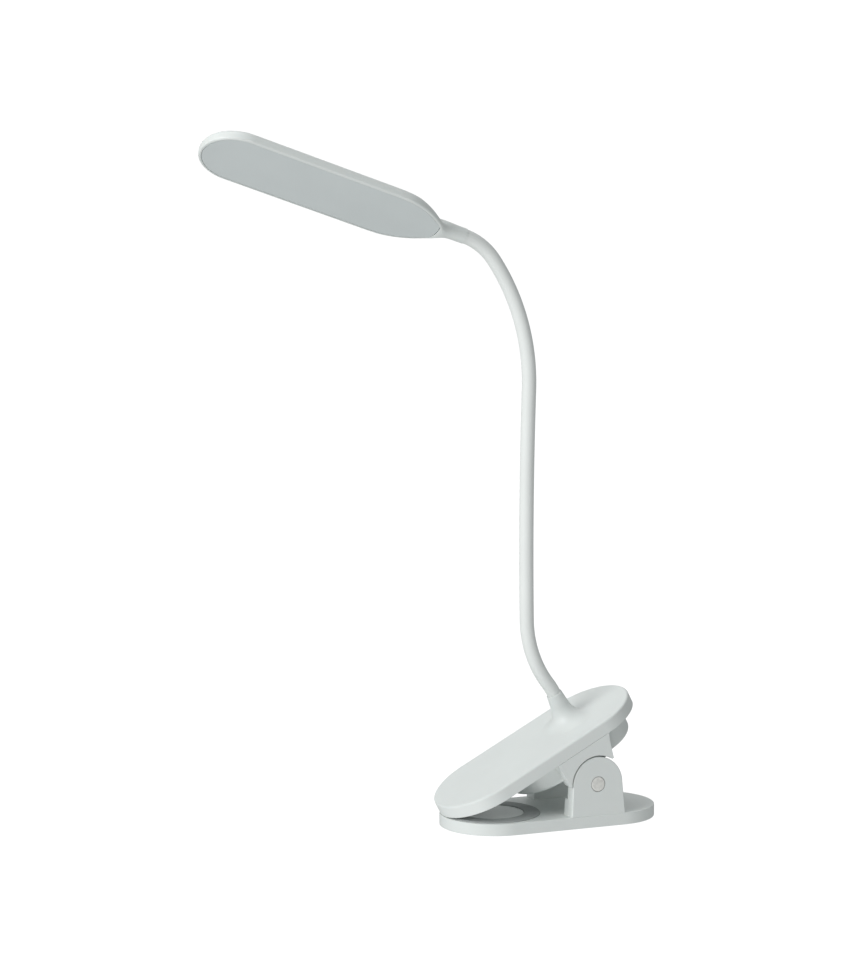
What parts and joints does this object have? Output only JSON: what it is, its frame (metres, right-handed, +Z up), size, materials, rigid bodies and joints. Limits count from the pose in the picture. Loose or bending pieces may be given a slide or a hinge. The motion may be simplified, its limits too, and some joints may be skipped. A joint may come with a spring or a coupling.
{
  "type": "clip-on reading lamp",
  "caption": "Clip-on reading lamp: weighted foot, sprung upper jaw with battery, flexible neck and a flat lamp head with a frosted panel.",
  "frame": {"origin": "centre of the foot's underside, on the surface that the lamp stands on", "axes": "+Z up, +X from the clip's mouth to its tail along the foot, +Y along the hinge pin to the side away from the lit face"},
  "size_m": [0.2774, 0.063, 0.3956],
  "materials": {
    "white_shell": "satin moulded plastic",
    "white_sleeve": "smooth matte silicone",
    "frosted_diffuser": "frosted",
    "grey_rubber": "matte",
    "bright_steel": "brushed",
    "core_steel": "oiled",
    "led_white": "solder mask",
    "board_green": "solder mask",
    "battery_foil": "wrapped foil",
    "brass": "machined"
  },
  "bodies": {
    "foot": {"foot_shell": "white_shell", "foot_cover": "white_shell", "foot_ballast": "core_steel", "foot_pad": "grey_rubber", "foot_screw_1": "bright_steel", "foot_screw_2": "bright_steel", "foot_screw_3": "bright_steel", "foot_screw_4": "bright_steel", "foot_grip_ring": "grey_rubber", "hinge_pin": "bright_steel", "hinge_pin_cap": "bright_steel", "hinge_spring": "core_steel"},
    "jaw": {"jaw_cover": "white_shell", "jaw_case": "white_shell", "jaw_grip_pad": "grey_rubber", "battery": "battery_foil", "main_board": "board_green", "touch_electrode": "brass", "charge_port": "bright_steel", "jaw_screw_1": "bright_steel", "jaw_screw_2": "bright_steel", "jaw_screw_3": "bright_steel", "jaw_screw_4": "bright_steel", "neck_nut": "brass", "neck_sleeve_1": "white_sleeve", "neck_core_1": "core_steel"},
    "neck_link_1": {"neck_sleeve_2": "white_sleeve", "neck_core_2": "core_steel"},
    "neck_link_2": {"neck_sleeve_3": "white_sleeve", "neck_core_3": "core_steel"},
    "neck_link_3": {"neck_sleeve_4": "white_sleeve", "neck_core_4": "core_steel"},
    "neck_link_4": {"neck_sleeve_5": "white_sleeve", "neck_core_5": "core_steel"},
    "neck_link_5": {"neck_sleeve_6": "white_sleeve", "neck_core_6": "core_steel"},
    "head": {"neck_sleeve_7": "white_sleeve", "neck_core_7": "core_steel", "head_shell": "white_shell", "head_insert": "brass", "diffuser": "frosted_diffuser", "led_board": "led_white"}
  },
  "joints": [
    {"name": "jaw_hinge", "type": "hinge", "parent": "foot", "child": "jaw", "pos_m": [0.0174, 0, 0.0258], "axis": [0, 1, 0], "range_deg": [0, 45], "stiffness_Nm_per_rad": 0.5, "springref_deg": -57.3, "deforming": ["hinge_spring"]},
    {"name": "neck_bend_1", "type": "hinge", "parent": "jaw", "child": "neck_link_1", "pos_m": [-0.00803, 0, 0.09364], "axis": [0, 1, 0], "range_deg": [-35, 35]},
    {"name": "neck_sway_1", "type": "hinge", "parent": "neck_link_1", "child": "neck_link_2", "pos_m": [-0.01436, 0, 0.13723], "axis": [0.9999, 0, 0.0111], "range_deg": [-30, 30]},
    {"name": "neck_bend_2", "type": "hinge", "parent": "neck_link_2", "child": "neck_link_3", "pos_m": [-0.0145, 0, 0.18173], "axis": [0, 1, 0], "range_deg": [-35, 35]},
    {"name": "neck_sway_2", "type": "hinge", "parent": "neck_link_3", "child": "neck_link_4", "pos_m": [-0.01392, 0, 0.22623], "axis": [0.9998, 0, -0.0211], "range_deg": [-30, 30]},
    {"name": "neck_bend_3", "type": "hinge", "parent": "neck_link_4", "child": "neck_link_5", "pos_m": [-0.01372, 0, 0.2707], "axis": [0, 1, 0], "range_deg": [-35, 35]},
    {"name": "neck_sway_3", "type": "hinge", "parent": "neck_link_5", "child": "head", "pos_m": [-0.02611, 0, 0.31318], "axis": [0.8929, 0, 0.4503], "range_deg": [-30, 30]}
  ]
}
